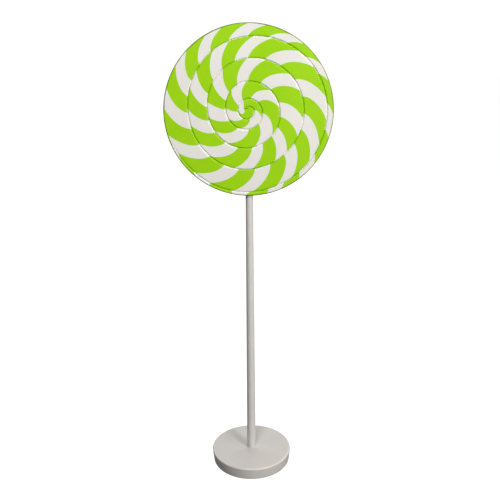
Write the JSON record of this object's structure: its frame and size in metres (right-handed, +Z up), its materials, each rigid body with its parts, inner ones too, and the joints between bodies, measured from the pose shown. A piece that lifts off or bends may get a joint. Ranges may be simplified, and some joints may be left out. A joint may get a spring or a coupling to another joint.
{
  "type": "swirl lollipop display prop",
  "caption": "Oversized swirl lollipop prop: a round lime and white head with a spiral groove, on a grey pole and a round base.",
  "frame": {"origin": "middle of the base's underside, on the floor", "axes": "+Z up along the pole, -Y out of the head's front face, +X to the right of someone who looks at the front"},
  "size_m": [0.6, 0.32, 1.717],
  "materials": {
    "head_paint": "satin",
    "pole_paint": "satin",
    "base_paint": "satin"
  },
  "bodies": {
    "root": {"head": "head_paint", "pole": "pole_paint", "base": "base_paint"}
  },
  "joints": []
}
